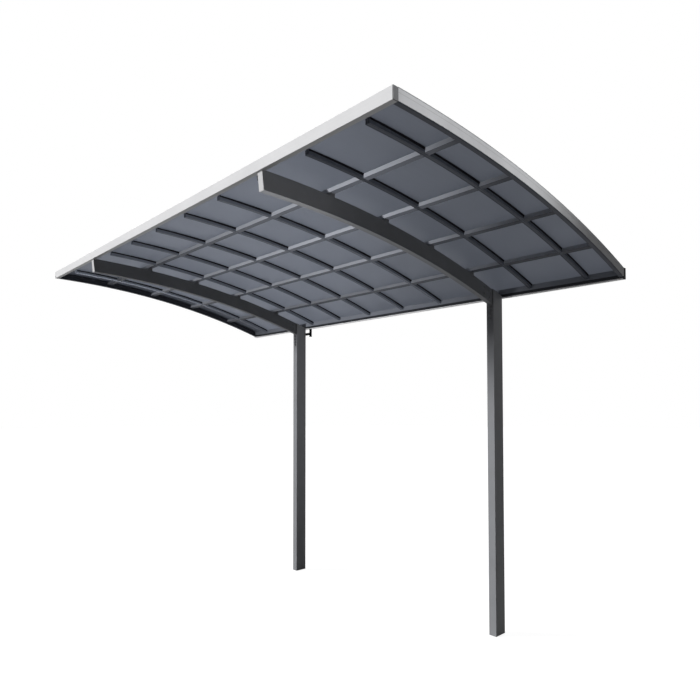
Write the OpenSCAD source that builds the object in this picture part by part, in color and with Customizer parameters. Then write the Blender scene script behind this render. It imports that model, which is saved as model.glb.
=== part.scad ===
// One-sided carport: two posts carry two curved arms and an arched roof of smoked sheets.
// The origin is the middle of the right post's foot, +X runs along the roof to the right gable,
// and the free front edge of the roof lies towards -Y.

/* [Roof] */
// Overall length of the roof from gable to gable
roof_len = 5000; // [3600:10:7000]
// Radius of the roof's top face
roof_r = 8690; // [6000:10:15000]
// Height of the arch's crown above the ground
crown_z = 3498; // [2400:1:4500]
// Distance from the posts' middle to the front edge of the roof
reach = 2558; // [1800:1:3500]
// Distance that the arch's crown lies ahead of the front edge
crown_ahead = 44; // [0:1:200]

/* [Frame] */
// Width of the front beam and of the gable frames
frame_w = 34; // [24:1:60]
// Depth of the front beam and of the gable frames
frame_d = 69; // [62:1:120]
// Wall of the front beam and of the gable frames
frame_wall = 3; // [2:0.5:6]
// Thickness of the top flange and of the cover strips
lip_t = 2; // [1:0.5:4]
// Thickness of a front corner cap
cap_t = 8; // [5:1:15]
// Radius of a front corner cap's outer top edge
cap_round = 4; // [1:0.5:4.5]

/* [Gutter] */
// Width of the rear gutter
gutter_w = 36; // [30:1:80]
// Depth of the rear gutter below the roof's top face
gutter_d = 75; // [60:1:120]
// Wall of the rear gutter
gutter_wall = 2.5; // [1.5:0.5:5]
// Thickness of a gutter end cap
gutter_cap_t = 6; // [3:1:15]

/* [Sheets, rafters and purlins] */
// Thickness of a roof sheet
sheet_t = 6; // [3:0.5:12]
// Depth of sheet held inside the front beam and over the gutter
sheet_bite = 15; // [6:1:25]
// Distance from a gable's outer face to the middle of the nearest rafter
end_bay = 290; // [150:1:400]
// Width of a rafter
rafter_w = 32; // [20:1:50]
// Depth of the rafters and purlins below the sheets
bar_d = 30; // [20:1:44]
// Distance that the rafters' lower bars stay behind the front beam
rafter_set = 88; // [20:1:140]
// Width of the web between two sheets
web_w = 6; // [3:1:12]
// Thickness of a purlin along the arch
purlin_t = 40; // [20:1:60]

/* [Posts and arms] */
// Distance between the posts' middles
post_pitch = 2805; // [1800:5:3400]
// Width of a post along the roof
post_w = 70; // [56:1:120]
// Depth of a post across the roof
post_d = 140; // [90:1:200]
// Wall of a post
post_wall = 3; // [2:0.5:8]
// Width of an arm
arm_w = 48; // [30:1:70]
// Depth of an arm
arm_d = 123; // [90:1:200]
// Wall of an arm
arm_wall = 3; // [2:0.5:8]
// Thickness of the plate on an arm's tip
plate_t = 4; // [2:0.5:10]
// Distance from the roof's front edge back to an arm's tip
tip_set = 12; // [4:1:20]
// Distance that an arm's tip leans back from its top to its bottom
tip_lean = 13; // [0:1:40]
// Height of the blocks between an arm and the purlins
block_h = 25; // [12:1:30]

/* [Drain] */
// Diameter of the drain pipe
drain_dia = 30; // [14:1:34]
// Distance from the left post's middle to the drain stub
drain_out = 110; // [80:1:200]
// Length of the drain stub below the gutter
drain_drop = 95; // [60:1:160]
// Depth of the drain's cross pipe below the gutter
drain_cross = 58; // [40:1:90]

/* [Hidden] */
// Places of the purlins' front faces along the arch, from the front beam to the gutter
purlin_shares = [0.202, 0.406, 0.610, 0.821];
// Number of rafters, one between each two sheets
rafter_count = 10;
// Share of its depth that a rafter keeps where it passes under a purlin
lap_share = 0.35;
// Clearance between curved faces that seat on each other
fit = 0.3;
// Overrun of every cut
over = 1;
// Facets of a full turn on the arch and on small rounds
arch_facets = 1440;
round_facets = 48;

// The arch's axis, and the faces of the roof along and across it
axis_y = -reach - crown_ahead;
axis_z = crown_z - roof_r;
mid_x = -post_pitch / 2;
right_x = mid_x + roof_len / 2;
left_x = mid_x - roof_len / 2;
front_y = -reach;
beam_back_y = front_y + frame_w;
tip_y = front_y + tip_set;
post_front_y = -post_d / 2;
gutter_front_y = post_d / 2;
gutter_back_y = gutter_front_y + gutter_w;
gutter_mid_y = gutter_front_y + gutter_w / 2;

// Radii of the layers from the roof's top face down
sheet_top_r = roof_r - lip_t - fit;
sheet_low_r = sheet_top_r - sheet_t;
bar_top_r = sheet_low_r - fit;
bar_low_r = bar_top_r - bar_d;
lap_r = bar_low_r + lap_share * bar_d;
arm_top_r = bar_low_r - fit - block_h;
arm_low_r = arm_top_r - arm_d;
frame_low_r = roof_r - frame_d;

// Height of the arch of one radius at one place across the roof
function arch_z(r, y) = axis_z + sqrt(r * r - (y - axis_y) * (y - axis_y));
// Angle from the crown of one place across the roof, on the purlins' lower face
function arch_angle(y) = asin((y - axis_y) / bar_low_r);
// Angle from the crown of a purlin's front face
function purlin_angle(share) = purlin_from + share * purlin_span;
// Place across the roof of the leaning face behind an arm's end plate, at one height
function tip_back_y(z) = tip_y + plate_t + tip_lean * (tip_top_z - z) / (tip_top_z - tip_low_z);
// Place of a rafter's middle along the roof, counted from the right gable
function rafter_x(i) = right_x - end_bay - (i - 1) * rafter_pitch;
// Name with a two-digit number
function numbered(name, i) = str(name, i < rafter_count ? "_0" : "_", i);

rafter_pitch = (roof_len - 2 * end_bay) / (rafter_count - 1);
purlin_from = arch_angle(beam_back_y);
purlin_span = arch_angle(gutter_front_y) - purlin_from;
purlin_turn = purlin_t / bar_low_r * 180 / PI;
fit_turn = fit / bar_low_r * 180 / PI;
beam_top_z = arch_z(roof_r, beam_back_y);
beam_low_z = beam_top_z - frame_d;
slot_low_z = arch_z(bar_top_r, beam_back_y);
slot_top_z = beam_top_z - lip_t;
sheet_inset = max(cap_t, gutter_cap_t, frame_wall);
gutter_low_z = arch_z(roof_r, gutter_back_y) - gutter_d;
tip_top_z = beam_low_z - fit;
tip_low_z = arch_z(arm_low_r, tip_y);

silver = [0.86, 0.87, 0.88];
grey = [0.62, 0.63, 0.65];
charcoal = [0.22, 0.23, 0.24];
black = [0.05, 0.05, 0.06];
smoke = [0.42, 0.44, 0.49];

// Extrudes an outline drawn in Y and Z along X
module along_x(x0, x1) {
    translate([x0, 0, 0])
        rotate([90, 0, 90])
            linear_extrude(x1 - x0)
                children();
}

// Rectangle between two corners
module field(low, high) {
    translate(low)
        square(high - low);
}

// Box between two corners
module box(low, high) {
    translate(low)
        cube(high - low);
}

// Turns a profile, drawn as radius and place along X, about the arch's axis between two angles
module arch_turn(angle0, angle1) {
    translate([0, axis_y, axis_z])
        rotate([90, 0, 90])
            rotate([0, 0, 90 - angle1])
                rotate_extrude(angle = angle1 - angle0, $fn = arch_facets)
                    children();
}

// Turns a profile that lies between two radii, and cuts it upright at two places across the roof
module arch_sweep(r0, r1, y0, y1) {
    intersection() {
        arch_turn(asin((y0 - axis_y) / r1), asin((y1 - axis_y) / r0))
            children();
        box([left_x - over, y0, 0], [right_x + over, y1, crown_z + over]);
    }
}

// Arched bar of rectangular section
module arch_bar(r0, r1, x0, x1, y0, y1) {
    arch_sweep(r0, r1, y0, y1)
        field([r0, x0], [r1, x1]);
}

// The left half of the carport mirrors the right half
module on_left() {
    translate([2 * mid_x, 0, 0])
        mirror([1, 0, 0])
            children();
}

// Upright column on the origin, with its top cut to the slope of one radius of the arch
module sloped_column(w, d, r, foot_z) {
    along_x(-w / 2, w / 2)
        polygon([[-d / 2, foot_z], [d / 2, foot_z],
            [d / 2, arch_z(r, d / 2)], [-d / 2, arch_z(r, -d / 2)]]);
}

// Post: a tube with a closed foot and a sloping, open top under the sheets
module post() {
    color(charcoal)
        difference() {
            sloped_column(post_w, post_d, arm_top_r, 0);
            sloped_column(post_w - 2 * post_wall, post_d - 2 * post_wall, arm_top_r + over, post_wall);
        }
}

// Arm: a curved tube from the post's front face to its end plate, with a seat for the front beam
// on its tip and a block under each purlin
module arm() {
    hollow_w = arm_w - 2 * arm_wall;
    cut_low_z = tip_low_z - arm_wall;
    color(charcoal)
        difference() {
            union() {
                arch_sweep(arm_low_r, arm_top_r, tip_y, post_front_y)
                    difference() {
                        field([arm_low_r, -arm_w / 2], [arm_top_r, arm_w / 2]);
                        field([arm_low_r + arm_wall, -hollow_w / 2], [arm_top_r - arm_wall, hollow_w / 2]);
                    }
                for (share = purlin_shares)
                    arch_turn(purlin_angle(share), purlin_angle(share) + purlin_turn)
                        field([arm_top_r - over, -hollow_w / 2], [bar_low_r - fit, hollow_w / 2]);
            }
            along_x(-arm_w / 2 - over, arm_w / 2 + over)
                polygon([[front_y, crown_z], [tip_back_y(crown_z), crown_z],
                    [tip_back_y(cut_low_z), cut_low_z], [front_y, cut_low_z]]);
            box([-arm_w / 2 - over, front_y, tip_top_z], [arm_w / 2 + over, beam_back_y + fit, crown_z]);
        }
}

// Leaning plate that closes an arm's tip under the front beam
module arm_end_plate() {
    color(silver)
        along_x(-arm_w / 2, arm_w / 2)
            polygon([[tip_back_y(tip_top_z) - plate_t, tip_top_z], [tip_back_y(tip_top_z), tip_top_z],
                [tip_back_y(tip_low_z), tip_low_z], [tip_back_y(tip_low_z) - plate_t, tip_low_z]]);
}

// Front beam: a tube with a slot along its back for the sheets
module front_beam() {
    x0 = left_x + cap_t;
    x1 = right_x - cap_t;
    color(silver)
        difference() {
            box([x0, front_y, beam_low_z], [x1, beam_back_y, beam_top_z]);
            box([x0 - over, front_y + frame_wall, beam_low_z + frame_wall],
                [x1 + over, beam_back_y - frame_wall, slot_top_z]);
            box([x0 - over, front_y + frame_wall, slot_low_z], [x1 + over, beam_back_y + over, slot_top_z]);
        }
}

// Front corner cap on the beam's end, with its outer top edge rounded
module front_cap() {
    color(charcoal)
        translate([right_x - cap_t, beam_back_y, beam_low_z])
            rotate([90, 0, 0])
                linear_extrude(frame_w)
                    union() {
                        square([cap_t, frame_d - cap_round]);
                        square([cap_t - cap_round, frame_d]);
                        translate([cap_t - cap_round, frame_d - cap_round])
                            circle(cap_round, $fn = round_facets);
                    }
}

// Gable frame: an arched channel that opens towards the roof's middle
module gable_frame() {
    inner_x = right_x - frame_w;
    color(grey)
        arch_sweep(frame_low_r, roof_r, beam_back_y, gutter_front_y)
            difference() {
                field([frame_low_r, inner_x], [roof_r, right_x]);
                field([frame_low_r + frame_wall, inner_x - over], [roof_r - lip_t, right_x - frame_wall]);
            }
}

// Rear gutter: a trough whose front wall stays under the sheets
module rear_gutter() {
    front_inner_y = gutter_front_y + gutter_wall;
    back_inner_y = gutter_back_y - gutter_wall;
    color(charcoal)
        along_x(left_x + gutter_cap_t, right_x - gutter_cap_t)
            union() {
                field([gutter_front_y, gutter_low_z], [gutter_back_y, gutter_low_z + gutter_wall]);
                field([gutter_front_y, gutter_low_z], [front_inner_y, arch_z(bar_top_r, front_inner_y)]);
                field([back_inner_y, gutter_low_z], [gutter_back_y, arch_z(roof_r, gutter_back_y)]);
            }
}

// End cap of the gutter, which also closes the gable frame's rear end
module gutter_cap() {
    color(black)
        box([right_x - gutter_cap_t, gutter_front_y, gutter_low_z],
            [right_x, gutter_back_y, arch_z(roof_r, gutter_front_y)]);
}

// Purlin: runs from gable to gable under the sheets, notched from below for the rafters
module purlin(share) {
    notch_w = rafter_w + 2 * fit;
    angle = purlin_angle(share);
    color(grey)
        difference() {
            arch_turn(angle, angle + purlin_turn)
                field([bar_low_r, left_x + frame_wall], [bar_top_r, right_x - frame_wall]);
            for (i = [1 : rafter_count])
                arch_turn(angle - purlin_turn, angle + 2 * purlin_turn)
                    field([bar_low_r - over, rafter_x(i) - notch_w / 2],
                        [lap_r + fit, rafter_x(i) + notch_w / 2]);
        }
}

// Rafter: a bar under the sheets with a window for each purlin, a web between the sheets
// and a cover strip above them, which both run on to the front beam
module rafter(i) {
    x = rafter_x(i);
    color(charcoal)
        difference() {
            arch_sweep(bar_low_r, roof_r, beam_back_y, gutter_front_y)
                union() {
                    field([bar_low_r, x - rafter_w / 2], [bar_top_r, x + rafter_w / 2]);
                    field([bar_low_r, x - web_w / 2], [roof_r, x + web_w / 2]);
                    field([roof_r - lip_t, x - rafter_w / 2], [roof_r, x + rafter_w / 2]);
                }
            for (share = purlin_shares)
                arch_turn(purlin_angle(share) - fit_turn, purlin_angle(share) + purlin_turn + fit_turn)
                    field([lap_r, x - rafter_w / 2 - over], [bar_top_r + fit, x + rafter_w / 2 + over]);
            arch_turn(0, arch_angle(beam_back_y + rafter_set))
                field([bar_low_r - over, x - rafter_w / 2 - over],
                    [bar_top_r + fit / 2, x + rafter_w / 2 + over]);
        }
}

// Roof sheet between two rafters, or between the last rafter and a gable
module roof_sheet(i) {
    web_gap = web_w / 2 + fit;
    x0 = i > rafter_count ? left_x + sheet_inset + fit : rafter_x(i) + web_gap;
    x1 = i == 1 ? right_x - sheet_inset - fit : rafter_x(i - 1) - web_gap;
    color(smoke)
        arch_bar(sheet_low_r, sheet_top_r, x0, x1, beam_back_y - sheet_bite, gutter_front_y + sheet_bite);
}

// Drain: a stub under the gutter with a cross pipe that turns into the left post
module drain_elbow() {
    stub_x = drain_out - post_pitch;
    cross_z = gutter_low_z - drain_cross;
    color(black)
        union() {
            translate([stub_x, gutter_mid_y, gutter_low_z - drain_drop])
                cylinder(d = drain_dia, h = drain_drop, $fn = round_facets);
            translate([-post_pitch, gutter_mid_y, cross_z])
                rotate([0, 90, 0])
                    cylinder(d = drain_dia, h = drain_out, $fn = round_facets);
            translate([-post_pitch, gutter_mid_y, cross_z])
                rotate([90, 0, 0])
                    cylinder(d = drain_dia, h = gutter_mid_y - gutter_front_y, $fn = round_facets);
            translate([-post_pitch, gutter_mid_y, cross_z])
                sphere(d = drain_dia, $fn = round_facets);
        }
}

post();  // post_right
on_left() post();  // post_left
arm();  // arm_right
on_left() arm();  // arm_left
arm_end_plate();  // arm_end_plate_right
on_left() arm_end_plate();  // arm_end_plate_left
front_beam();
front_cap();  // front_cap_right
on_left() front_cap();  // front_cap_left
gable_frame();  // gable_frame_right
on_left() gable_frame();  // gable_frame_left
rear_gutter();
gutter_cap();  // gutter_cap_right
on_left() gutter_cap();  // gutter_cap_left
for (i = [1 : len(purlin_shares)])
    purlin(purlin_shares[i - 1]);
for (i = [1 : rafter_count])
    rafter(i);
for (i = [1 : rafter_count + 1])
    roof_sheet(i);
drain_elbow();
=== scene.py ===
import math

import bmesh
import bpy
import numpy as np
from bpy.props import FloatProperty, FloatVectorProperty, IntProperty, PointerProperty
from bpy.types import Operator, Panel, PropertyGroup
from mathutils import Matrix, Vector


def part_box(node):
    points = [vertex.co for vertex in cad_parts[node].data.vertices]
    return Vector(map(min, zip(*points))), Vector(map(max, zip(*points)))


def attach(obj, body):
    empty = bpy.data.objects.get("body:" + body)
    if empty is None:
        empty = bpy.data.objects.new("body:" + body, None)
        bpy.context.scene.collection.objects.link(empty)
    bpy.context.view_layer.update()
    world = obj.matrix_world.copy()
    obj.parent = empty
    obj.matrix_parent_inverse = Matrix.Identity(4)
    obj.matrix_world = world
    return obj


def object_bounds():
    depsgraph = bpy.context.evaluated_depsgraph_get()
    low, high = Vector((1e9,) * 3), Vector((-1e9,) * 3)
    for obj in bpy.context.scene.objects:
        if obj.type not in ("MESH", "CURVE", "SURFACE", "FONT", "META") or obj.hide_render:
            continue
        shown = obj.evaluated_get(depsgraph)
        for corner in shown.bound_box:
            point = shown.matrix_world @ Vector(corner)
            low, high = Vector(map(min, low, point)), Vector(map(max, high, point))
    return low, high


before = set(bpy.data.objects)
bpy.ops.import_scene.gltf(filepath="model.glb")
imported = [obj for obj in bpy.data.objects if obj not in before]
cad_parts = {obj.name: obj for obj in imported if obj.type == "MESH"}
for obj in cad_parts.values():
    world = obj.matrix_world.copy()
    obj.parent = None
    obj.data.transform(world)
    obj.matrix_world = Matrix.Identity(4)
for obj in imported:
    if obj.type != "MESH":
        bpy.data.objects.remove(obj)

bl_info = {
    "name": "Arched carport",
    "version": (1, 0, 0),
    "blender": (4, 5, 0),
    "location": "View3D > Sidebar > Carport",
    "description": "Finishes, seals, fasteners and stage of a one-sided arched carport",
    "category": "Object",
}

CAD_LOW, CAD_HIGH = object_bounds()

SIDES = ("right", "left")
POSTS = [f"post_{side}" for side in SIDES]
ARMS = [f"arm_{side}" for side in SIDES]
PLATES = [f"arm_end_plate_{side}" for side in SIDES]
FRONT_CAPS = [f"front_cap_{side}" for side in SIDES]
GABLES = [f"gable_frame_{side}" for side in SIDES]
GUTTER_CAPS = [f"gutter_cap_{side}" for side in SIDES]
PURLINS = [f"purlin_{i}" for i in range(1, 5)]
RAFTERS = [f"rafter_{i:02d}" for i in range(1, 11)]
SHEETS = [f"roof_sheet_{i:02d}" for i in range(1, 12)]


def middle(node, axis):
    """Middle of a node's box along one axis."""
    low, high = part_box(node)
    return (low[axis] + high[axis]) / 2


RAFTER_X = np.array([middle(n, 0) for n in RAFTERS])
RAFTER_PITCH = float(RAFTER_X[0] - RAFTER_X[1])


# Settings

def length(name, description, default, **limits):
    """A length in metres."""
    return FloatProperty(name=name, description=description, default=default, unit="LENGTH", precision=4,
                         **limits)


def whole_number(name, description, default, **limits):
    """A number of like things."""
    return IntProperty(name=name, description=description, default=default, **limits)


def colour(name, description, default):
    """A colour of a finish."""
    return FloatVectorProperty(name=name, description=description, default=default, subtype="COLOR",
                               min=0, max=1)


def view_angle(name, description, degrees):
    """An angle of the camera, given in degrees."""
    return FloatProperty(name=name, description=description, default=math.radians(degrees), subtype="ANGLE")


def light_strength(name, description, default):
    """Strength of a far light or of the world."""
    return FloatProperty(name=name, description=description, default=default, min=0)


def lamp_power(name, description, default):
    """Power of one lamp."""
    return FloatProperty(name=name, description=description, default=default, min=0, unit="POWER")


def lamp_powers(name, description, default):
    """Powers of several lamps."""
    return FloatVectorProperty(name=name, description=description, default=default, min=0, unit="POWER",
                               size=len(default))


class CarportArch(PropertyGroup):
    """Axis of the arched roof, radii of its layers, and depths of its bars and arms"""
    axis_y: length("Axis Y", "Place of the arch's axis across the roof", -2.602)
    axis_z: length("Axis Z", "Height of the arch's axis", -5.192)
    roof_r: length("Roof radius", "Radius of the roof's top face", 8.690, min=1)
    sheet_r: length("Sheet underside radius", "Radius of the sheets' lower face", 8.6817, min=1)
    bar_r: length("Bar underside radius", "Radius of the rafters' and purlins' lower faces", 8.6514, min=1)
    bar_set: length("Bar set-back", "From the front beam back to the rafters' lower bars", 0.088, min=0)
    arm_mid_r: length("Arm middle radius", "Radius of the arms' middle line", 8.5646, min=1)
    arm_depth: length("Arm depth", "Depth of the arms along the radius", 0.123, min=0.02)


class CarportFinish(PropertyGroup):
    """Colours of the carport's finishes"""
    charcoal: colour("Charcoal paint", "Paint of the posts, arms and bolts", (0.200, 0.204, 0.214))
    rafter: colour("Rafter paint", "Paint of the rafters and lap screws", (0.152, 0.168, 0.203))
    gutter: colour("Gutter paint", "Paint of the rear gutter", (0.180, 0.191, 0.220))
    silver: colour("Silver", "Front beam, arm tips, strip screws and gutter trim", (0.70, 0.70, 0.71))
    grey: colour("Grey paint", "Paint of the gable frames", (0.46, 0.464, 0.476))
    purlin: colour("Purlin grey", "Paint of the purlins", (0.304, 0.316, 0.350))
    # Painted shade for the gables' inside and lower faces and, darker still, for the purlins' lower faces
    inside: colour("Inside grey", "Shaded inside and lower faces of the roof frame", (0.100, 0.107, 0.126))
    cap: colour("Cap grey", "Moulded corner caps of the front beam", (0.150, 0.152, 0.158))
    smoke: colour("Smoke tint", "Tint of the smoked roof sheets", (0.127, 0.139, 0.168))
    black: colour("Black plastic", "Gutter caps, drain, plugs and seals", (0.012, 0.012, 0.014))


class CarportFittings(PropertyGroup):
    """Sizes of the seals, fasteners, plugs and drain"""
    seal_w: length("Seal width", "Width of a glazing seal on the sheet", 0.003, min=0.001)
    seal_h: length("Seal height", "Height of a glazing seal on the rafter's side", 0.015, min=0.002)
    seal_gap: length("Seal gap", "Room between a seal's end and what it meets", 0.0015, min=0)
    screw_d: length("Screw head", "Diameter of a screw head", 0.010, min=0.003)
    screw_h: length("Screw head height", "Height of a screw head", 0.0024, min=0.0005)
    screw_sides: whole_number("Screw head sides", "Points around a screw head", 8, min=6, max=16)
    strip_screws: whole_number("Strip screws", "Screws along each cover strip", 9, min=2)
    bolt_af: length("Bolt head", "Width across flats of a bolt head", 0.017, min=0.006)
    washer_t: length("Washer", "Thickness of a bolt's washer", 0.0026, min=0.001)
    arm_bolt_start: length("First arm bolts", "From the post's face to the first bolts in the arm", 0.045)
    arm_bolt_pitch: length("Arm bolt pitch", "Between the two pairs of bolts along the arm", 0.080)
    arm_bolt_rise: length("Arm bolt rise", "From the arm's middle line to its bolts", 0.030)
    post_bolts: whole_number("Post bolts", "Bolts below the arm on the post's front", 4, min=1)
    post_bolt_pitch: length("Post bolt pitch", "Between the bolts on the post's front", 0.035)
    plug_inset: length("Plug inset", "From the post's faces to its plug's rim", 0.001, min=0)
    pipe_d: length("Drain pipe", "Diameter of the drain pipe", 0.030, min=0.01)


class CarportStage(PropertyGroup):
    """Camera and light"""
    lens: FloatProperty(name="Lens", description="Focal length on a 36 mm wide image", default=29.676, min=1,
                        unit="CAMERA")
    place: FloatVectorProperty(name="Camera place", description="Where the camera stands", precision=4,
                               subtype="TRANSLATION", unit="LENGTH", default=(2.86653, -4.5217, 1.99272))
    yaw: view_angle("Yaw", "Turn of the view from +Y towards -X", 47.42152)
    pitch: view_angle("Pitch", "Tilt of the view above level", 1.73287)
    roll: view_angle("Roll", "Turn about the view's own line", -0.037)
    shift_shares: FloatVectorProperty(name="Shift", description="Shift of the frame, as shares of its width",
                                      size=2, precision=5, default=(0.01427, 0.05887))
    key: light_strength("Key light", "Low light from the front left", 4.3)
    rear: light_strength("Rear light", "Soft light from the rear left", 1.5)
    top: lamp_power("Top light", "Soft panel above the roof", 160.0)
    post_front: light_strength("Post front light", "Added front light on the posts", 0.8)
    posts: lamp_powers("Post lights", "Right-hand sides of the right and the left post", (25.0, 95.0))
    sheet_left: light_strength("Left sheet light", "Light through the sheets from the left", 0.19)
    sheet_rear: light_strength("Rear sheet light", "Light through the sheets from the rear left", 0.40)
    tips: lamp_powers("Arm tip lights", "Under the right arm's tip, far and near", (105.0, 56.0))
    arm_side: lamp_power("Arm side light", "Side of the right arm", 86.0)
    gables: lamp_powers("Gable lights", "Right gable and its front cap, front and middle", (126.0, 98.0))
    purlins: lamp_powers("Purlin lights", "Purlins, from the front one", (1040.0, 1600.0, 1500.0, 880.0))
    rafters: lamp_powers("Rafter lights", "Under and beside most rafters, under the right two, on the last",
                         (72.0, 200.0, 26.0, 1150.0))
    gutter: lamp_power("Gutter light", "Front of the gutter", 480.0)
    ambient: light_strength("Ambient light", "Even light from all round", 0.02)


# Shapes

# How far a small piece sinks into what carries it, or stands off it
BED = 0.0002
SHARP_ANGLE = math.radians(35)


def arch_point(arch, x, r, angle):
    """Points on the arch: the angle is measured from the crown towards the rear, so Y is the axis plus
    radius times its sine, and Z is the axis plus radius times its cosine. Arrays are broadcast together."""
    x, r, angle = np.broadcast_arrays(x, r, angle)
    return np.stack([x, arch.axis_y + r * np.sin(angle), arch.axis_z + r * np.cos(angle)], axis=-1)


def arch_angle(arch, y, r):
    """Angle from the crown at which the arch of one radius reaches a place across the roof."""
    return np.arcsin((np.asarray(y) - arch.axis_y) / r)


def arch_normal(angle):
    """Outward directions of the arch: the sine of the angle along Y and its cosine along Z."""
    return np.stack([np.zeros_like(angle), np.sin(angle), np.cos(angle)], axis=-1)


def tube_faces(rows, cols):
    """Quads between each row of points and the next, with every row closed on itself."""
    i, j = np.meshgrid(np.arange(rows - 1), np.arange(cols), indexing="ij")
    k = (j + 1) % cols
    corners = [i * cols + j, i * cols + k, (i + 1) * cols + k, (i + 1) * cols + j]
    return np.stack(corners, axis=-1).reshape(-1, 4)


def tube(sections):
    """Closed shell from an array of rows of points: quads join the rows, and a flat face closes each end."""
    rows, cols = sections.shape[:2]
    ends = [list(range(cols))[::-1], list(range((rows - 1) * cols, rows * cols))]
    return sections.reshape(-1, 3), tube_faces(rows, cols).tolist() + ends


def ring(sections):
    """Closed ring from an array of rows of points: quads join the rows, and the last row joins the first."""
    rows, cols = sections.shape[:2]
    return sections.reshape(-1, 3), (tube_faces(rows + 1, cols) % (rows * cols)).tolist()


def turned(profile, sides):
    """Rows of points of a turned shape: each pair of radius and height is carried round the Z axis."""
    a = np.arange(sides) * (2 * np.pi / sides)
    r, z = np.asarray(profile, float).T
    height = np.broadcast_to(z[:, None], (len(r), sides))
    return np.stack([r[:, None] * np.cos(a), r[:, None] * np.sin(a), height], axis=-1)


def repeated(shape, places, turns):
    """One shape at many places: every point is turned by each place's own axes and moved there at once."""
    points, faces = shape
    spread = np.einsum("nij,kj->nki", turns, points) + places[:, None, :]
    count = len(points)
    many = [[v + count * n for v in f] for n in range(len(places)) for f in faces]
    return spread.reshape(-1, 3), many


def joined(shapes):
    """Several shapes as one list of points and faces."""
    points, faces, start = [], [], 0
    for p, f in shapes:
        points.append(p)
        faces += [[v + start for v in q] for q in f]
        start += len(p)
    return np.concatenate(points), faces


def facing(normal, along):
    """Axes whose third one is the given normal, and whose first one lies along the given direction: the
    second is the cross product of the two. Works on whole arrays of directions."""
    n = np.asarray(normal, float)
    t = np.broadcast_to(np.asarray(along, float), n.shape)
    t = t - n * np.sum(t * n, axis=-1, keepdims=True)
    t = t / np.linalg.norm(t, axis=-1, keepdims=True)
    return np.stack([t, np.cross(n, t), n], axis=-1)


def piece(name, shape, material, smooth=True):
    """A piece of the carport from points and faces, with its normals outward, on the one body."""
    points, faces = shape
    mesh = bpy.data.meshes.new(name)
    mesh.from_pydata(points.tolist(), [], faces)
    bm = bmesh.new()
    bm.from_mesh(mesh)
    bmesh.ops.recalc_face_normals(bm, faces=bm.faces)
    bm.to_mesh(mesh)
    bm.free()
    mesh.polygons.foreach_set("use_smooth", np.full(len(mesh.polygons), smooth))
    if smooth:
        mesh.set_sharp_from_angle(angle=SHARP_ANGLE)
    obj = bpy.data.objects.new(name, mesh)
    bpy.context.scene.collection.objects.link(obj)
    mesh.materials.append(material)
    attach(obj, "root")


# Profile of a screw head from its rim to the floor of its socket, as shares of its radius and height
SCREW_RADIUS_SHARES = np.array([1.0, 1.0, 0.82, 0.5, 0.42])
SCREW_HEIGHT_SHARES = np.array([0.0, 0.35, 0.8, 1.0, 0.45])


def screw_head(fit):
    """Low screw head: a domed side from the rim to the top, with a sunk socket, turned about its axis."""
    radius = fit.screw_d / 2 * SCREW_RADIUS_SHARES
    height = fit.screw_h * SCREW_HEIGHT_SHARES
    height[0] -= BED
    return tube(turned(np.stack([radius, height], axis=-1), fit.screw_sides))


# Washer radii and head heights, as shares of the width across flats
WASHER_SHARE = 0.98
WASHER_TOP_SHARE = 0.90
HEAD_SIDE_SHARE = 0.56
HEAD_TOP_SHARE = 0.64
# Radii of the head's top, as shares of its corner radius
HEAD_CHAMFER_SHARE = 0.88
HEAD_FLAT_SHARE = 0.5
WASHER_CHAMFER = 0.0006
WASHER_SIDES = 20
HEAD_SIDES = 6


def hex_bolt(fit):
    """Bolt head with its washer: a round disc, and a six-sided head whose top corners are chamfered."""
    af, washer_t = fit.bolt_af, fit.washer_t
    corner_r, washer_r, top = af / math.sqrt(3), WASHER_SHARE * af, HEAD_TOP_SHARE * af
    disc = [(washer_r, -BED), (washer_r, washer_t - WASHER_CHAMFER), (WASHER_TOP_SHARE * af, washer_t)]
    head = [(corner_r, washer_t - BED), (corner_r, HEAD_SIDE_SHARE * af),
            (HEAD_CHAMFER_SHARE * corner_r, top), (HEAD_FLAT_SHARE * corner_r, top)]
    return joined([tube(turned(disc, WASHER_SIDES)), tube(turned(head, HEAD_SIDES))])


# Finishes

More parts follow.
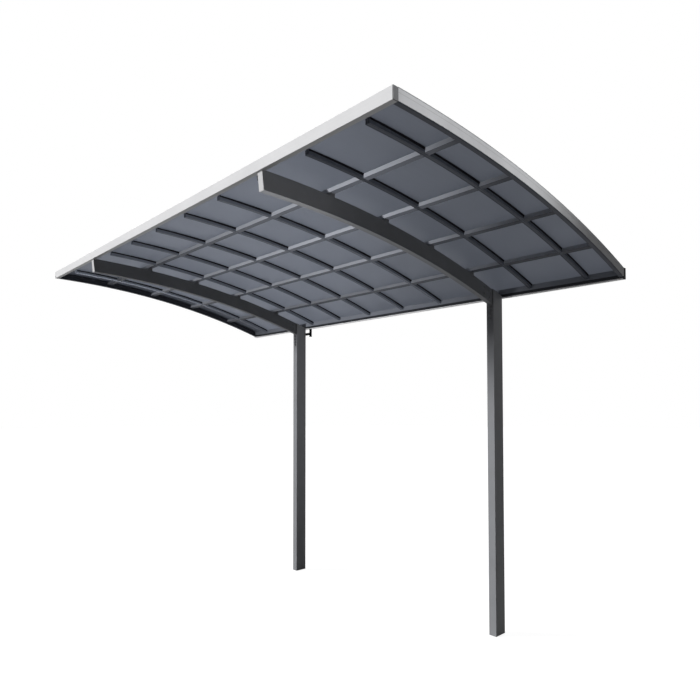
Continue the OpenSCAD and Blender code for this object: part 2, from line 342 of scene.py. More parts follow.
class Nodes:
    """Short hand for a material's node tree."""

    def __init__(self, name):
        old = bpy.data.materials.get(name)
        if old:
            bpy.data.materials.remove(old)
        self.material = bpy.data.materials.new(name)
        self.material.use_nodes = True
        self.tree = self.material.node_tree
        self.shader = next(n for n in self.tree.nodes if n.type == "BSDF_PRINCIPLED")

    def add(self, kind, **values):
        node = self.tree.nodes.new(kind)
        for k, v in values.items():
            setattr(node, k, v)
        return node

    def join(self, a, b):
        self.tree.links.new(a, b)

    def feed(self, socket, value):
        """Links another node's output to a socket, or sets a number on it."""
        if hasattr(value, "node"):
            self.join(value, socket)
        else:
            socket.default_value = value

    def set(self, **values):
        for k, v in values.items():
            self.shader.inputs[k.replace("_", " ")].default_value = v

    def place(self, scale=(1, 1, 1)):
        """Object coordinates, stretched."""
        where, stretch = self.add("ShaderNodeTexCoord"), self.add("ShaderNodeMapping")
        stretch.inputs["Scale"].default_value = scale
        self.join(where.outputs["Object"], stretch.inputs["Vector"])
        return stretch.outputs["Vector"]

    def axes(self):
        """X, Y and Z of the Object coordinates."""
        split = self.add("ShaderNodeSeparateXYZ")
        self.join(self.add("ShaderNodeTexCoord").outputs["Object"], split.inputs["Vector"])
        return split.outputs

    def noise(self, vector, scale=1.0, detail=3.0, rough=0.5):
        node = self.add("ShaderNodeTexNoise")
        node.inputs["Scale"].default_value = scale
        node.inputs["Detail"].default_value = detail
        node.inputs["Roughness"].default_value = rough
        self.join(vector, node.inputs["Vector"])
        return node.outputs["Fac"]

    def math(self, operation, *values):
        node = self.add("ShaderNodeMath", operation=operation)
        for socket, v in zip(node.inputs, values):
            self.feed(socket, v)
        return node.outputs["Value"]

    def between(self, value, low, high, to_low=0.0, to_high=1.0, smooth=False):
        """Carries a value from one range to another."""
        node = self.add("ShaderNodeMapRange", interpolation_type="SMOOTHSTEP" if smooth else "LINEAR")
        for name, v in (("From Min", low), ("From Max", high), ("To Min", to_low), ("To Max", to_high)):
            node.inputs[name].default_value = v
        self.join(value, node.inputs["Value"])
        return node.outputs["Result"]

    def below(self, value, edge, fade, smooth=True):
        """1 where a value is below an edge, fading to 0 above it."""
        return self.between(value, edge, edge + fade, 1.0, 0.0, smooth)

    def blend(self, factor, a, b):
        node = self.add("ShaderNodeMix", data_type="RGBA")
        self.join(factor, node.inputs["Factor"])
        for socket, v in ((node.inputs["A"], a), (node.inputs["B"], b)):
            self.feed(socket, v if hasattr(v, "node") else (*v, 1))
        return node.outputs["Result"]

    def bump(self, height, strength, distance, after=None):
        node = self.add("ShaderNodeBump")
        node.inputs["Strength"].default_value = strength
        node.inputs["Distance"].default_value = distance
        self.join(height, node.inputs["Height"])
        if after:
            self.join(after, node.inputs["Normal"])
        return node.outputs["Normal"]

    def use(self, **sockets):
        for k, v in sockets.items():
            self.join(v, self.shader.inputs[k.replace("_", " ")])


def shade(tone, share):
    """A colour made lighter or darker by a share."""
    return tuple(min(1.0, c * share) for c in tone)


def paint(name, tone, rough=0.45, specular=0.12, lines=None, layers=()):
    """Satin powder coat: a fine orange peel, faint mottling, a film of dust in soft patches, and optional
    grooves. Each layer is a mask and the colour that shows where the mask is 1."""
    dark_share, light_share, dust_share, groove_share = 0.93, 1.07, 1.45, 0.18
    dust_cover_share, groove_cover_share = 0.10, 0.62
    dust_rough = 0.12
    n = Nodes(name)
    where = n.place()
    mottle = n.between(n.noise(where, scale=2.3, detail=4.0, rough=0.6), low=0.3, high=0.7)
    dust = n.between(n.noise(where, scale=9.0, detail=5.0, rough=0.65), low=0.45, high=0.75, smooth=True)
    base = n.blend(mottle, shade(tone, dark_share), shade(tone, light_share))
    base = n.blend(n.math("MULTIPLY", dust, dust_cover_share), base, shade(tone, dust_share))
    peel = n.bump(n.noise(where, scale=520.0, detail=2.0), strength=0.10, distance=0.0006)
    for mask, cover in layers:
        base = n.blend(mask(n), base, tuple(cover))
    if lines:
        mark = lines(n)
        base = n.blend(n.math("MULTIPLY", mark, groove_cover_share), base, shade(tone, groove_share))
        peel = n.bump(n.math("MULTIPLY", mark, -1.0), strength=0.5, distance=0.0015, after=peel)
    dusty = n.between(dust, low=0.0, high=1.0, to_low=rough, to_high=rough + dust_rough)
    n.use(Base_Color=base, Normal=peel, Roughness=dusty)
    n.set(Specular_IOR_Level=specular)
    return n.material


def satin_aluminium(name, tone, under=None):
    """Satin anodised metal: fine die lines drawn along the bar, soft clouding, and optional painted shade on
    its lower face."""
    dark_share, light_share, line_share, under_shade_share = 0.96, 1.03, 0.80, 0.62
    line_cover_share = 0.12
    n = Nodes(name)
    drawn = n.noise(n.place(scale=(1.2, 420.0, 420.0)), detail=3.0, rough=0.6)
    cloud = n.between(n.noise(n.place(), scale=3.1, detail=4.0, rough=0.6), low=0.3, high=0.7)
    base = n.blend(cloud, shade(tone, dark_share), shade(tone, light_share))
    lines = n.between(drawn, low=0.35, high=0.65, to_high=line_cover_share)
    base = n.blend(lines, base, shade(tone, line_share))
    if under:
        # Painted shade: the lower face is darker than the rest of the metal
        base = n.blend(under(n), base, shade(tone, under_shade_share))
    n.use(Base_Color=base, Roughness=n.between(drawn, low=0.3, high=0.7, to_low=0.40, to_high=0.52),
          Normal=n.bump(drawn, strength=0.06, distance=0.0004))
    n.set(Specular_IOR_Level=0.2)
    return n.material


def smoked_sheet(name, tone):
    """Smoked polycarbonate: tinted clear plastic with faint extrusion streaks along the sheet and soft
    waviness."""
    dark_share, light_share = 0.95, 1.05
    n = Nodes(name)
    streak = n.noise(n.place(scale=(160.0, 1.5, 1.5)), detail=3.0, rough=0.6)
    wave = n.noise(n.place(scale=(3.0, 1.2, 1.2)), scale=1.6, detail=2.0)
    base = n.blend(n.between(streak, low=0.35, high=0.65), shade(tone, dark_share), shade(tone, light_share))
    n.use(Base_Color=base, Roughness=n.between(streak, low=0.3, high=0.7, to_low=0.46, to_high=0.54),
          Normal=n.bump(wave, strength=0.04, distance=0.01))
    n.set(Transmission_Weight=0.80, IOR=1.15)
    return n.material


def black_plastic(name, tone):
    """Moulded black plastic: a fine stipple with faint grey scuffs."""
    scuff_share, scuff_cover_share = 2.6, 0.35
    n = Nodes(name)
    where = n.place()
    scuff = n.between(n.noise(where, scale=38.0, detail=4.0, rough=0.6), low=0.55, high=0.78)
    base = n.blend(n.math("MULTIPLY", scuff, scuff_cover_share), tone, shade(tone, scuff_share))
    stipple = n.bump(n.noise(where, scale=900.0, detail=2.0), strength=0.12, distance=0.0004)
    rubbed = n.between(scuff, low=0.0, high=1.0, to_low=0.46, to_high=0.62)
    n.use(Base_Color=base, Roughness=rubbed, Normal=stipple)
    n.set(Specular_IOR_Level=0.02)
    return n.material


# Painted lines, and bands of painted shade

# On the gables, down from the roof's top face: the lip's painted shade, a faint line and the start of the
# lower face
GABLE_LIP_SHADE, GABLE_LIP_FADE = 0.0065, 0.0025
GABLE_LINE, GABLE_LINE_W, GABLE_LINE_SHARE = 0.026, 0.004, 0.35
GABLE_LOW, GABLE_LOW_FADE = 0.0685, 0.0020
# On the gables, in from the roof's end: the outer skin, with painted shade on the faces inside it, and the
# edge of the lower face, where that painted shade is darker
GABLE_SKIN, GABLE_SKIN_FADE = 0.0010, 0.0008
GABLE_EDGE, GABLE_EDGE_FADE = 0.008, 0.002
# Out from a rafter's middle to the dark line beside it
RAFTER_LINE, RAFTER_LINE_W = 0.0085, 0.004
# Up from the lower faces of the bars, the front beam and the gutter: their painted shade, and the gutter's
# trim
BAR_UNDER, BAR_UNDER_FADE = 0.0005, 0.0015
BEAM_UNDER, BEAM_UNDER_FADE = 0.0006, 0.0016
GUTTER_TRIM, GUTTER_TRIM_FADE = 0.007, 0.002
GUTTER_SHADE, GUTTER_SHADE_FADE = 0.030, 0.006
# How dark the bands of painted shade are beside their colours, and the arm end plates' shaded copy of the
# silver
GUTTER_SHADE_SHARE = 0.15
GABLE_EDGE_SHADE_SHARE = 0.65
RAFTER_UNDER_SHADE_SHARE = 0.60
PURLIN_UNDER_SHADE_SHARE = 0.74
PLATE_SHADE_SHARE = 0.86


def arch_radius(n, arch):
    """Distance from the arch's axis: the root of the Y and Z offsets squared and summed."""
    axes = n.axes()
    y = n.math("SUBTRACT", axes["Y"], arch.axis_y)
    z = n.math("SUBTRACT", axes["Z"], arch.axis_z)
    return n.math("SQRT", n.math("ADD", n.math("MULTIPLY", y, y), n.math("MULTIPLY", z, z)))


def height_over(n, node):
    """Height over the lowest point of a CAD node."""
    return n.math("SUBTRACT", n.axes()["Z"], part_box(node)[0].z)


def end_distance(n):
    """Distance from the nearer end of the roof, inwards."""
    off = n.math("SUBTRACT", n.axes()["X"], (CAD_HIGH[0] + CAD_LOW[0]) / 2)
    return n.math("SUBTRACT", (CAD_HIGH[0] - CAD_LOW[0]) / 2, n.math("ABSOLUTE", off))


def groove(n, value, centre, width):
    """1 on a line of the given width where a value passes its centre, fading to 0 beside it."""
    core_share, fade_share = 0.35, 0.30
    off = n.math("ABSOLUTE", n.math("SUBTRACT", value, centre))
    return n.below(off, width * core_share, width * fade_share)


def dress(names, material):
    """Gives CAD nodes a finish in their own material slots."""
    for name in names:
        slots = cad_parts[name].data.materials
        slots.clear()
        slots.append(material)


class CARPORT_OT_finish(Operator):
    """Paint the frame, tint the sheets and mould the plastic caps"""
    bl_idname = "carport.finish"
    bl_label = "Finish the frame"

    def execute(self, context):
        arch, look = context.scene.carport_arch, context.scene.carport_finish

        def gable_lip_shade_and_line(n):
            r = arch_radius(n, arch)
            # Painted shade along the gable's top lip; the faint line below it is a groove
            lip = n.between(r, arch.roof_r - GABLE_LIP_SHADE, arch.roof_r - GABLE_LIP_SHADE + GABLE_LIP_FADE, smooth=True)
            line = groove(n, r, arch.roof_r - GABLE_LINE, GABLE_LINE_W)
            return n.math("MAXIMUM", lip, n.math("MULTIPLY", line, GABLE_LINE_SHARE))

        def gable_low(n):
            return n.below(arch_radius(n, arch), arch.roof_r - GABLE_LOW, GABLE_LOW_FADE)

        # Painted shade on the gables' lower faces and on every face inside the outer skin
        def gable_inner_shade(n):
            within = n.between(end_distance(n), GABLE_SKIN, GABLE_SKIN + GABLE_SKIN_FADE)
            return n.math("MAXIMUM", gable_low(n), within)

        # Darker painted shade along the outer edge of the gables' lower faces
        def gable_edge_shade(n):
            edge = n.below(end_distance(n), GABLE_EDGE, GABLE_EDGE_FADE, smooth=False)
            return n.math("MULTIPLY", gable_low(n), edge)

        def rafter_lines(n):
            along = n.math("DIVIDE", n.math("SUBTRACT", n.axes()["X"], float(RAFTER_X[-1])), RAFTER_PITCH)
            off = n.math("MULTIPLY", n.math("PINGPONG", along, 0.5), RAFTER_PITCH)
            return groove(n, off, RAFTER_LINE, RAFTER_LINE_W)

        # Painted shade on the lower faces of the rafters and purlins
        def bar_under_shade(n):
            return n.below(arch_radius(n, arch), arch.bar_r + BAR_UNDER, BAR_UNDER_FADE)

        # Painted shade on the front beam's lower face
        def beam_under_shade(n):
            return n.below(height_over(n, "front_beam"), BEAM_UNDER, BEAM_UNDER_FADE)

        def gutter_trim(n):
            return n.below(height_over(n, "rear_gutter"), GUTTER_TRIM, GUTTER_TRIM_FADE)

        # Painted shade: a dark band up the lower part of the gutter's front
        def gutter_shade(n):
            return n.below(height_over(n, "rear_gutter"), GUTTER_SHADE, GUTTER_SHADE_FADE)

        gutter_shade_and_trim_bands = [(gutter_shade, shade(look.gutter, GUTTER_SHADE_SHARE)), (gutter_trim, look.silver)]
        gable_shade_bands = [(gable_inner_shade, look.inside), (gable_edge_shade, shade(look.inside, GABLE_EDGE_SHADE_SHARE))]
        rafter_shade_bands = [(bar_under_shade, shade(look.rafter, RAFTER_UNDER_SHADE_SHARE))]
        purlin_shade_bands = [(bar_under_shade, shade(look.inside, PURLIN_UNDER_SHADE_SHARE))]
        dress(POSTS, paint("post_paint", look.charcoal))
        dress(ARMS, paint("arm_paint", look.charcoal, specular=0.05))
        dress(["rear_gutter"], paint("gutter_paint", look.gutter, layers=gutter_shade_and_trim_bands))
        dress(FRONT_CAPS, paint("cap_paint", look.cap))
        dress(RAFTERS, paint("rafter_paint", look.rafter, specular=0.04, lines=rafter_lines,
                             layers=rafter_shade_bands))
        dress(["front_beam"], satin_aluminium("satin_silver", look.silver, under=beam_under_shade))
        # Painted shade: the arm end plates get a darker copy of the silver
        dress(PLATES, satin_aluminium("plate_shaded_silver", shade(look.silver, PLATE_SHADE_SHARE)))
        dress(GABLES, paint("gable_paint", look.grey, specular=0.04, lines=gable_lip_shade_and_line,
                            layers=gable_shade_bands))
        dress(PURLINS, paint("purlin_paint", look.purlin, specular=0.04, layers=purlin_shade_bands))
        dress(SHEETS, smoked_sheet("smoked_polycarbonate", look.smoke))
        dress(GUTTER_CAPS + ["drain_elbow"], black_plastic("moulded_black", look.black))
        return {"FINISHED"}


# Seals and fasteners

def bays(arch):
    """Start and end angles of the bays between the rafters' front ends, the purlins and the gutter."""
    edges = [float(arch_angle(arch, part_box("front_beam")[1].y + arch.bar_set, arch.sheet_r))]
    for name in PURLINS:
        low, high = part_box(name)
        edges += [float(arch_angle(arch, low.y, arch.bar_r)), float(arch_angle(arch, high.y, arch.sheet_r))]
    edges.append(float(arch_angle(arch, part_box("rear_gutter")[0].y, arch.sheet_r)))
    return np.array(edges).reshape(-1, 2)


# Section of a seal: out along the sheet, a round nose, then tapering down the rafter's side, as shares of its
# width and height. It starts shallower at a bay's front.
SEAL_OUT_SHARES = np.array([0.0, 1.0, 1.0, 0.72, 0.46, 0.30, 0.0])
SEAL_DOWN_SHARES = np.array([0.0, 0.0, 0.16, 0.34, 0.62, 1.0, 1.0])
SEAL_FRONT_SHARE = 0.6
SEAL_ROWS = 7
SEAL_BLACK_SHARE = 1.8


class CARPORT_OT_seals(Operator):
    """Lay rubber glazing seals between each rafter and its sheets, also standing in for the shade in that
    corner
    """
    bl_idname = "carport.seals"
    bl_label = "Glazing seals"

    def execute(self, context):
        arch, fit = context.scene.carport_arch, context.scene.carport_fittings
        look = context.scene.carport_finish
        half = (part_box(RAFTERS[0])[1].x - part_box(RAFTERS[0])[0].x) / 2
        out = half + BED + SEAL_OUT_SHARES * fit.seal_w
        down = SEAL_DOWN_SHARES * fit.seal_h * np.linspace(SEAL_FRONT_SHARE, 1.0, SEAL_ROWS)[:, None]
        gap = fit.seal_gap / arch.sheet_r
        shapes = []
        for start, end in bays(arch):
            angle = np.linspace(start + gap, end - gap, SEAL_ROWS)[:, None]
            for side in (1, -1):
                for x in RAFTER_X:
                    shapes.append(tube(arch_point(arch, x + side * out, arch.sheet_r - BED - down, angle)))
        # Their black also stands in for the shade in the corner under the sheets
        rubber = black_plastic("seal_rubber", shade(look.black, SEAL_BLACK_SHARE))
        piece("glazing_seals", joined(shapes), rubber)
        return {"FINISHED"}


# First and last screws of a cover strip, as angles in radians from the lower bar's front end and the gutter
STRIP_SCREW_FRONT = 0.020
STRIP_SCREW_REAR = 0.012


class CARPORT_OT_strip_screws(Operator):
    """Set screws along the cover strips on the roof"""
    bl_idname = "carport.strip_screws"
    bl_label = "Cover strip screws"

    def execute(self, context):
        arch, fit = context.scene.carport_arch, context.scene.carport_fittings
        look = context.scene.carport_finish
        first, last = bays(arch)[0, 0] + STRIP_SCREW_FRONT, bays(arch)[-1, 1] - STRIP_SCREW_REAR
        x, angle = np.meshgrid(RAFTER_X, np.linspace(first, last, fit.strip_screws), indexing="ij")
        x, angle = x.ravel(), angle.ravel()
        turns = facing(arch_normal(angle), (1, 0, 0))
        shape = repeated(screw_head(fit), arch_point(arch, x, arch.roof_r, angle), turns)
        piece("cover_strip_screws", shape, satin_aluminium("screw_metal", look.silver))
        return {"FINISHED"}


# Height over the bars' lower faces at which a lap's middle is found
LAP_RISE = 0.015


class CARPORT_OT_lap_screws(Operator):
    """Set a screw up into each half lap of a rafter and a purlin"""
    bl_idname = "carport.lap_screws"
    bl_label = "Lap screws"

    def execute(self, context):
        arch, fit = context.scene.carport_arch, context.scene.carport_fittings
        look = context.scene.carport_finish
        laps = np.array([float(arch_angle(arch, middle(n, 1), arch.bar_r + LAP_RISE)) for n in PURLINS])
        x, angle = np.meshgrid(RAFTER_X, laps, indexing="ij")
        x, angle = x.ravel(), angle.ravel()
        turns = facing(-arch_normal(angle), (1, 0, 0))
        shape = repeated(screw_head(fit), arch_point(arch, x, arch.bar_r, angle), turns)
        piece("lap_screws", shape, paint("lap_screw_paint", look.rafter, rough=0.40))
        return {"FINISHED"}


class CARPORT_OT_joint_bolts(Operator):
    """Bolt each arm to its post, with heads on both sides of the arm and on the post's front"""
    bl_idname = "carport.joint_bolts"
    bl_label = "Arm and post bolts"

    def execute(self, context):
        arch, fit = context.scene.carport_arch, context.scene.carport_fittings
        look = context.scene.carport_finish
        bolt = hex_bolt(fit)
        for side, arm, post in zip(SIDES, ARMS, POSTS):
            face_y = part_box(post)[0].y
            y = face_y - fit.arm_bolt_start - fit.arm_bolt_pitch * np.array([0, 0, 1, 1])
            r = arch.arm_mid_r + fit.arm_bolt_rise * np.array([1, -1, 1, -1])
            places, normals = [], []
            for x, outward in zip((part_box(arm)[0].x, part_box(arm)[1].x), (-1.0, 1.0)):
                places.append(arch_point(arch, x, r, arch_angle(arch, y, r)))
                normals.append(np.tile([outward, 0.0, 0.0], (len(r), 1)))
            # Bolts in a row below the arm, on the post's front face
            joint_angle = arch_angle(arch, face_y, arch.arm_mid_r)
            joint_z = float(arch_point(arch, 0.0, arch.arm_mid_r - arch.arm_depth / 2, joint_angle)[2])
            z = joint_z - fit.post_bolt_pitch * np.arange(1, fit.post_bolts + 1)
            places.append(np.stack([np.full_like(z, middle(post, 0)), np.full_like(z, face_y), z], axis=-1))
            normals.append(np.tile([0.0, -1.0, 0.0], (len(z), 1)))
            turns = facing(np.concatenate(normals), (0, 0, 1))
            shape = repeated(bolt, np.concatenate(places), turns)
            finish = paint(f"bolt_paint_{side}", look.charcoal, rough=0.40)
            piece(f"joint_bolts_{side}", shape, finish, smooth=False)
        return {"FINISHED"}


# Pillow of a post plug from its rim to its middle: shares of its half sizes, and heights over the post's top
PLUG_SHRINK_SHARES = np.array([1.0, 1.0, 0.97, 0.90, 0.6, 0.2])[:, None]
PLUG_RISES = np.array([0.0003, 0.0020, 0.0034, 0.0044, 0.0050, 0.0052])[:, None]
PLUG_SIDES = 32
PLUG_CORNER_POWER = 0.22


class CARPORT_OT_post_plugs(Operator):
    """Close the open, sloping top of each post with a moulded plug"""
    bl_idname = "carport.post_plugs"
    bl_label = "Post plugs"

    def execute(self, context):
        arch, fit = context.scene.carport_arch, context.scene.carport_fittings
        finish = black_plastic("plug_plastic", context.scene.carport_finish.black)
        top_r = arch.arm_mid_r + arch.arm_depth / 2
        # Rounded rectangle: cosine and sine of the angle round it, to a small power, with their signs kept
        angle = np.arange(PLUG_SIDES) * (2 * np.pi / PLUG_SIDES)
        rim_x, rim_y = (np.sign(v) * np.abs(v) ** PLUG_CORNER_POWER for v in (np.cos(angle), np.sin(angle)))
        for side, post in zip(SIDES, POSTS):
            low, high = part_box(post)
            half_x, half_y = (high.x - low.x) / 2 - fit.plug_inset, (high.y - low.y) / 2 - fit.plug_inset
            x = middle(post, 0) + half_x * PLUG_SHRINK_SHARES * rim_x
            y = middle(post, 1) + half_y * PLUG_SHRINK_SHARES * rim_y
            # The post's top slopes straight between the arch's heights at its front and rear faces
            front_z = arch.axis_z + math.sqrt(top_r ** 2 - (low.y - arch.axis_y) ** 2)
            rear_z = arch.axis_z + math.sqrt(top_r ** 2 - (high.y - arch.axis_y) ** 2)
            z = front_z + (y - low.y) / (high.y - low.y) * (rear_z - front_z) + PLUG_RISES
            piece(f"post_plug_{side}", tube(np.stack([x, y, z], axis=-1)), finish)
        return {"FINISHED"}


# Drain rings: radii, and distances down from the gutter (flange and bead) or up from the drain's foot (lip)
FLANGE_R, FLANGE_LOW_R, FLANGE_SIDE, FLANGE_T = 0.0175, 0.0168, 0.0028, 0.0038
BEAD_R, BEAD_EDGE_R, BEAD_TOP, BEAD_EDGE, BEAD_H = 0.0174, 0.0166, 0.030, 0.001, 0.008
LIP_R, LIP_LOW_R, LIP_H, LIP_SIDE_TOP, LIP_SIDE_LOW, LIP_FOOT = 0.0172, 0.0162, 0.010, 0.009, 0.002, 0.0004
RING_SIDES = 32


class CARPORT_OT_drain_rings(Operator):
    """Add the outlet flange, a bead and the end lip of the drain"""
    bl_idname = "carport.drain_rings"
    bl_label = "Drain rings"

    def execute(self, context):
        fit, look = context.scene.carport_fittings, context.scene.carport_finish
        low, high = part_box("drain_elbow")
        gutter_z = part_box("rear_gutter")[0].z
        pipe_r = fit.pipe_d / 2
        skin = pipe_r + BED
        foot = low.z - gutter_z
        place = np.array([high.x - pipe_r, middle("rear_gutter", 1), gutter_z])
        # Turned rings: a wide flange under the gutter, a bead above the branch and a lip round the end
        flange = [(skin, -BED), (FLANGE_R, -BED), (FLANGE_R, -FLANGE_SIDE), (FLANGE_LOW_R, -FLANGE_T),
                  (skin, -FLANGE_T)]
        bead = [(skin, -BEAD_TOP), (BEAD_EDGE_R, -BEAD_TOP - BEAD_EDGE), (BEAD_R, -BEAD_TOP - BEAD_H / 2),
                (BEAD_EDGE_R, -BEAD_TOP - BEAD_H + BEAD_EDGE), (skin, -BEAD_TOP - BEAD_H)]
        lip = [(skin, foot + LIP_H), (LIP_R, foot + LIP_SIDE_TOP), (LIP_R, foot + LIP_SIDE_LOW),
               (LIP_LOW_R, foot + LIP_FOOT), (skin, foot + LIP_FOOT)]
        shape = joined([ring(turned(profile, RING_SIDES) + place) for profile in (flange, bead, lip)])
        piece("drain_rings", shape, black_plastic("ring_plastic", look.black))
        return {"FINISHED"}


# Stage

# Point under the roof that the far lights aim at, over the middle of the floor
CENTRE = (-1.4, -1.2, 2.0)
SENSOR_WIDTH = 36.0
CLIP_START, CLIP_END = 0.05, 300.0
FLOOR_RADII = (60.0, 20.0, 6.0, 1.0)
FLOOR_SIDES = 48
FLOOR_DROP = 0.001
FLOOR_GREY = 0.30
FLOOR_GLOW = 0.90
SUN_DISTANCE = 20.0


def linked(name, nodes, state):
    """A collection of CAD nodes that a lamp keeps to, or leaves out."""
    group = bpy.data.collections.new(name)
    for node in nodes:
        group.objects.link(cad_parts[node])
    for entry in group.collection_objects:
        entry.light_linking.link_state = state
    return group


def lamp(name, kind, energy, place, target, nodes=None, state="INCLUDE", through=None, **values):
    """A lamp that the camera and reflections don't see, aimed at a target. It may light only some CAD nodes,
    or all but those, and its light may pass through some nodes."""
    data = bpy.data.lights.new(name, kind)
    data.energy = energy
    for k, v in values.items():
        setattr(data, k, v)
    obj = bpy.data.objects.new(name, data)
    bpy.context.scene.collection.objects.link(obj)
    obj.location = place
    obj.rotation_mode = "QUATERNION"
    obj.rotation_quaternion = (Vector(target) - Vector(place)).to_track_quat("-Z", "Y")
    obj.visible_camera = obj.visible_glossy = False
    if nodes:
        obj.light_linking.receiver_collection = linked(f"{name}_reach", nodes, state)
    if through:
        obj.light_linking.blocker_collection = linked(f"{name}_through", through, "EXCLUDE")


def sun(name, energy, nodes, turn, rise, soft, state="INCLUDE", through=None):
    """Far light: the turn is from the front towards the left, the rise is above level, both in degrees."""
    turn, rise = math.radians(turn), math.radians(rise)
    way = Vector((-math.sin(turn) * math.cos(rise), -math.cos(turn) * math.cos(rise), math.sin(rise)))
    place = Vector(CENTRE) + way * SUN_DISTANCE
    lamp(name, "SUN", energy, place, CENTRE, nodes, state, through, angle=math.radians(soft))


def spot(name, energy, nodes, place, target, spread, soft=0.3):
    """Soft round light on some nodes, with its spread in degrees and its radius in metres."""
    lamp(name, "SPOT", energy, place, target, nodes, spot_size=math.radians(spread), spot_blend=1.0,
         shadow_soft_size=soft)


def panel_light(name, energy, place, target, size, nodes=None):
    """Soft rectangle of light."""
    lamp(name, "AREA", energy, place, target, nodes, shape="RECTANGLE", size=size[0], size_y=size[1])


def seen_rays(tree):
    """1 for camera, glossy and transmission rays, 0 for the rays that carry light."""
    path = tree.nodes.new("ShaderNodeLightPath")
    out = path.outputs["Is Camera Ray"]
    for name in ("Is Glossy Ray", "Is Transmission Ray"):
        most = tree.nodes.new("ShaderNodeMath")
        most.operation = "MAXIMUM"
        tree.links.new(out, most.inputs[0])
        tree.links.new(path.outputs[name], most.inputs[1])
        out = most.outputs["Value"]
    return out


def add_camera(scene, stage):
    """The camera at the photograph's place: ahead follows yaw and pitch, and the roll turns right and up."""
    eye = bpy.data.cameras.new("photo_camera")
    eye.lens, eye.sensor_width = stage.lens, SENSOR_WIDTH
    eye.shift_x, eye.shift_y = stage.shift_shares
    eye.clip_start, eye.clip_end = CLIP_START, CLIP_END
    camera = bpy.data.objects.new("photo_camera", eye)
    scene.collection.objects.link(camera)
    level = math.cos(stage.pitch)
    ahead = Vector((-math.sin(stage.yaw) * level, math.cos(stage.yaw) * level, math.sin(stage.pitch)))
    right = Vector((math.cos(stage.yaw), math.sin(stage.yaw), 0.0))
    up = right.cross(ahead)
    c, s = math.cos(stage.roll), math.sin(stage.roll)
    axes = (right * c + up * s, up * c - right * s, -ahead)
    camera.matrix_world = Matrix.Translation(Vector(stage.place)) @ Matrix(axes).transposed().to_4x4()
    scene.camera = camera


def add_floor(scene):
    """A wide disc of rings, level at the posts' feet, which looks white and keeps a faint shadow."""
    rings = turned([(r, -FLOOR_DROP) for r in FLOOR_RADII], FLOOR_SIDES) + np.array([*CENTRE[:2], 0.0])
    points, faces = tube(rings)
    # The flat end across the outermost ring would lie over the others, so only the inner end stays
    del faces[-2]
    mesh = bpy.data.meshes.new("floor")
    mesh.from_pydata(points.tolist(), [], faces)
    floor = bpy.data.objects.new("floor", mesh)
    scene.collection.objects.link(floor)
    pale = bpy.data.materials.new("pale_floor")
    pale.use_nodes = True
    tree = pale.node_tree
    tree.nodes.clear()
    out, both = tree.nodes.new("ShaderNodeOutputMaterial"), tree.nodes.new("ShaderNodeAddShader")
    matt, glow = tree.nodes.new("ShaderNodeBsdfDiffuse"), tree.nodes.new("ShaderNodeEmission")
    matt.inputs["Color"].default_value = (FLOOR_GREY, FLOOR_GREY, FLOOR_GREY, 1)
    level = tree.nodes.new("ShaderNodeMath")
    level.operation = "MULTIPLY"
    level.inputs[1].default_value = FLOOR_GLOW
    tree.links.new(seen_rays(tree), level.inputs[0])
    tree.links.new(level.outputs["Value"], glow.inputs["Strength"])
    tree.links.new(matt.outputs["BSDF"], both.inputs[0])
    tree.links.new(glow.outputs["Emission"], both.inputs[1])
    tree.links.new(both.outputs["Shader"], out.inputs["Surface"])
    mesh.materials.append(pale)


def add_world(scene, stage):
    """A world that looks white and gives only the ambient light."""
    world = bpy.data.worlds.new("white_world")
    scene.world = world
    world.use_nodes = True
    tree = world.node_tree
    tree.nodes.clear()
    out, sky = tree.nodes.new("ShaderNodeOutputWorld"), tree.nodes.new("ShaderNodeBackground")
    sky.inputs["Color"].default_value = (1, 1, 1, 1)
    level = tree.nodes.new("ShaderNodeMapRange")
    level.inputs["To Min"].default_value = stage.ambient
    level.inputs["To Max"].default_value = 1.0
    tree.links.new(seen_rays(tree), level.inputs["Value"])
    tree.links.new(level.outputs["Result"], sky.inputs["Strength"])
    tree.links.new(sky.outputs["Background"], out.inputs["Surface"])


# Each purlin's spot stands at one place, is aimed at an X of the purlin and has its own spread
PURLIN_LIGHT_PLACE = (1.8, -4.6, 1.2)
PURLIN_LIGHT_AIMS = (-0.8, -2.9, -3.5, -3.5)
PURLIN_LIGHT_SPREADS = (54, 82, 76, 68)
PURLIN_LIGHT_RISE = 0.02


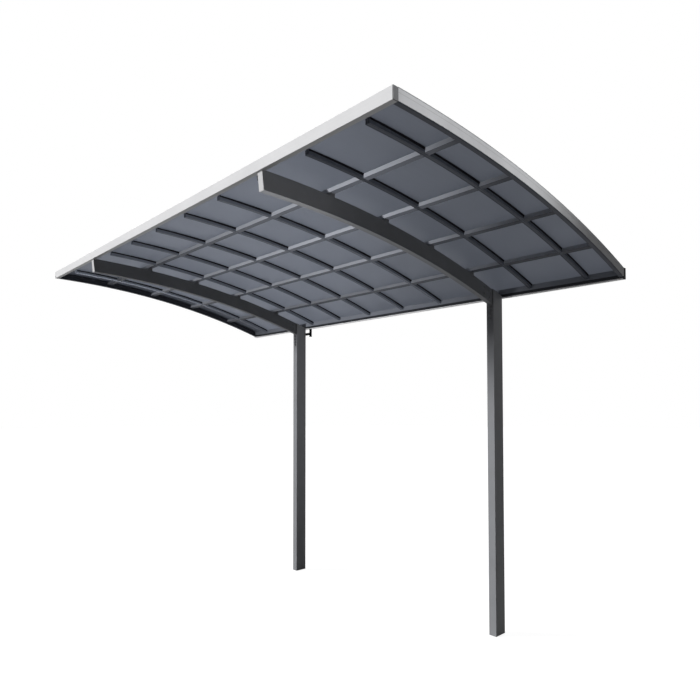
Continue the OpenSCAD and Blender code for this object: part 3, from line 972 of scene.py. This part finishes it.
def add_lamps(stage):
    """Low light from the front left, soft light from the rear left and from above, and added light on single
    groups of pieces. The lights through the sheets pass the roof bars and leave out the last sheet."""
    right_end, right_arm = GABLES[:1] + FRONT_CAPS[:1], ARMS[:1]
    right_rafters, left_rafters, last_rafter = RAFTERS[:2], RAFTERS[2:], RAFTERS[-1:]
    lit_sheets = SHEETS[:-1]
    roof_bars = RAFTERS + GABLES + ["front_beam", "rear_gutter"]
    sun("key_light", stage.key, SHEETS, turn=45, rise=17, soft=12, state="EXCLUDE")
    sun("rear_light", stage.rear, SHEETS, turn=160, rise=25, soft=30, state="EXCLUDE")
    sun("post_front_light", stage.post_front, POSTS, turn=45, rise=17, soft=12)
    spot("post_light_right", stage.posts[0], POSTS[:1],
         place=(4.0, -0.3, 2.5), target=(0.0, 0.0, 2.3), spread=60)
    spot("post_light_left", stage.posts[1], POSTS[1:],
         place=(1.2, -0.3, 2.5), target=(-2.8, 0.0, 2.3), spread=60)
    sun("sheet_light_left", stage.sheet_left, lit_sheets, turn=100, rise=12, soft=30, through=roof_bars)
    sun("sheet_light_rear", stage.sheet_rear, lit_sheets, turn=122, rise=13, soft=30, through=roof_bars)
    panel_light("top_light", stage.top,
                place=(-1.4, -1.2, 9.0), target=(-1.4, -1.2, 0.0), size=(8.0, 8.0))
    panel_light("rafter_light_low", stage.rafters[0],
                place=(-2.2, -1.3, 0.3), target=(-2.2, -1.3, 3.3), size=(5.0, 2.6), nodes=left_rafters)
    spot("rafter_light_side", stage.rafters[1], left_rafters,
         place=(2.4, -4.4, 1.4), target=(-1.4, -1.2, 3.3), spread=80)
    spot("rafter_light_right", stage.rafters[2], right_rafters,
         place=(0.2, -2.6, 0.3), target=(0.5, -1.9, 3.4), spread=80)
    spot("rafter_light_end", stage.rafters[3], last_rafter,
         place=(-3.5, -3.6, 0.5), target=(-3.61, -2.0, 3.4), spread=50)
    spot("arm_tip_light_far", stage.tips[0], right_arm,
         place=(-0.3, -3.6, 0.8), target=(-0.2, -2.1, 3.4), spread=60, soft=0.4)
    spot("arm_tip_light_near", stage.tips[1], right_arm,
         place=(-0.2, -2.9, 1.6), target=(0.0, -2.5, 3.3), spread=50, soft=0.2)
    spot("arm_side_light", stage.arm_side, right_arm,
         place=(3.2, -4.4, 3.3), target=(0.0, -2.5, 3.35), spread=24)
    spot("gable_light_front", stage.gables[0], right_end,
         place=(2.6, -2.9, 4.0), target=(1.1, -2.0, 3.42), spread=60)
    spot("gable_light_middle", stage.gables[1], right_end,
         place=(3.0, -1.6, 4.2), target=(1.1, -1.3, 3.38), spread=34)
    for node, energy, aim_x, spread in zip(PURLINS, stage.purlins, PURLIN_LIGHT_AIMS, PURLIN_LIGHT_SPREADS):
        target = (aim_x, middle(node, 1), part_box(node)[0].z + PURLIN_LIGHT_RISE)
        spot(f"{node}_light", energy, [node], PURLIN_LIGHT_PLACE, target, spread)
    spot("gutter_light", stage.gutter, ["rear_gutter"],
         place=(-2.4, -3.5, 1.5), target=(-2.0, 0.07, 3.0), spread=70)


class CARPORT_OT_stage(Operator):
    """Set the camera, the white floor and world, and the lamps"""
    bl_idname = "carport.stage"
    bl_label = "Camera, floor and light"

    def execute(self, context):
        scene, stage = context.scene, context.scene.carport_stage
        scene.view_settings.view_transform = "Standard"
        add_camera(scene, stage)
        add_floor(scene)
        add_world(scene, stage)
        add_lamps(stage)
        return {"FINISHED"}


class CARPORT_PT_panel(Panel):
    """Steps and settings of the carport"""
    bl_idname = "CARPORT_PT_panel"
    bl_label = "Arched carport"
    bl_space_type = "VIEW_3D"
    bl_region_type = "UI"
    bl_category = "Carport"

    def draw(self, context):
        for step in STEPS:
            self.layout.operator(step.bl_idname)
        for name, group in SETTINGS.items():
            box = self.layout.box()
            for setting in group.__annotations__:
                box.prop(getattr(context.scene, name), setting)


SETTINGS = {
    "carport_arch": CarportArch,
    "carport_finish": CarportFinish,
    "carport_fittings": CarportFittings,
    "carport_stage": CarportStage,
}
STEPS = (CARPORT_OT_finish, CARPORT_OT_seals, CARPORT_OT_strip_screws, CARPORT_OT_lap_screws,
         CARPORT_OT_joint_bolts, CARPORT_OT_post_plugs, CARPORT_OT_drain_rings, CARPORT_OT_stage)


def register():
    for name, group in SETTINGS.items():
        bpy.utils.register_class(group)
        setattr(bpy.types.Scene, name, PointerProperty(type=group))
    for step in STEPS + (CARPORT_PT_panel,):
        bpy.utils.register_class(step)


def unregister():
    for step in (CARPORT_PT_panel,) + STEPS[::-1]:
        bpy.utils.unregister_class(step)
    for name, group in list(SETTINGS.items())[::-1]:
        delattr(bpy.types.Scene, name)
        bpy.utils.unregister_class(group)


def main():
    """Registers the classes and runs every step."""
    register()
    bpy.ops.carport.finish()
    bpy.ops.carport.seals()
    bpy.ops.carport.strip_screws()
    bpy.ops.carport.lap_screws()
    bpy.ops.carport.joint_bolts()
    bpy.ops.carport.post_plugs()
    bpy.ops.carport.drain_rings()
    bpy.ops.carport.stage()


if __name__ == "__main__":
    main()
